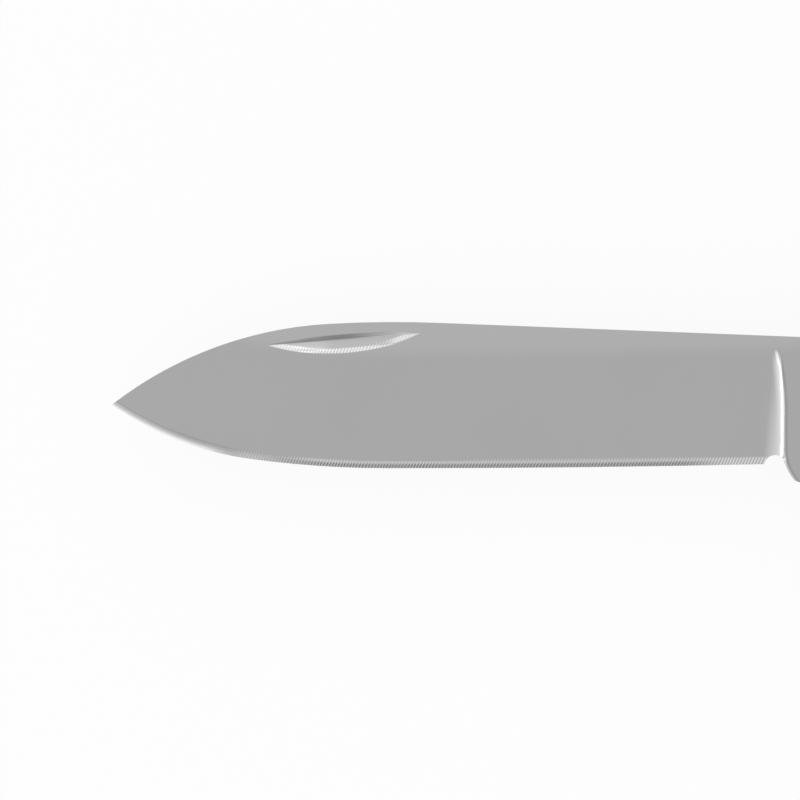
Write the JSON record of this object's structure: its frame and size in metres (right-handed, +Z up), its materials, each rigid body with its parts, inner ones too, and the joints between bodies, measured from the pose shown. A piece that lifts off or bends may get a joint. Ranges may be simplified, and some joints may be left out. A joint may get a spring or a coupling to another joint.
{
  "type": "folding pocket knife",
  "caption": "Folding pocket knife: a flat-ground blade with a nail nick turns on a pin in a riveted, bolstered handle and is held open or shut by a back spring.",
  "frame": {"origin": "on the blade's pivot axis, in the plane of the flat pile side that the knife lies on", "axes": "+X along the knife from the open blade's point to the butt, +Y from the edge to the spine, +Z up through the thickness to the side with the nail nick"},
  "size_m": [0.1596, 0.0163, 0.0102],
  "materials": {
    "blade_steel": "fine satin",
    "spring_steel": "satin",
    "bolster_metal": "polished nickel silver",
    "liner_brass": "satin",
    "pin_brass": "polished",
    "scale_wood": "oiled dark hardwood"
  },
  "bodies": {
    "handle": {"back_spring": "spring_steel", "pivot_pin": "bolster_metal", "spring_pin": "pin_brass", "butt_pin": "bolster_metal", "lanyard_tube": "pin_brass", "mark_side_liner": "liner_brass", "mark_side_bolster": "bolster_metal", "mark_side_bolster_pins": "bolster_metal", "mark_side_scale": "scale_wood", "mark_side_scale_pins": "pin_brass", "mark_side_butt_cap": "bolster_metal", "mark_side_butt_cap_pins": "bolster_metal", "pile_side_liner": "liner_brass", "pile_side_bolster": "bolster_metal", "pile_side_bolster_pins": "bolster_metal", "pile_side_scale": "scale_wood", "pile_side_scale_pins": "pin_brass", "pile_side_butt_cap": "bolster_metal", "pile_side_butt_cap_pins": "bolster_metal"},
    "blade": {"blade": "blade_steel"}
  },
  "joints": [
    {"name": "blade_pivot", "type": "hinge", "parent": "handle", "child": "blade", "pos_m": [0, 0, 0.0051], "axis": [0, 0, 1], "range_deg": [0, 180], "deforming": ["back_spring"]}
  ]
}
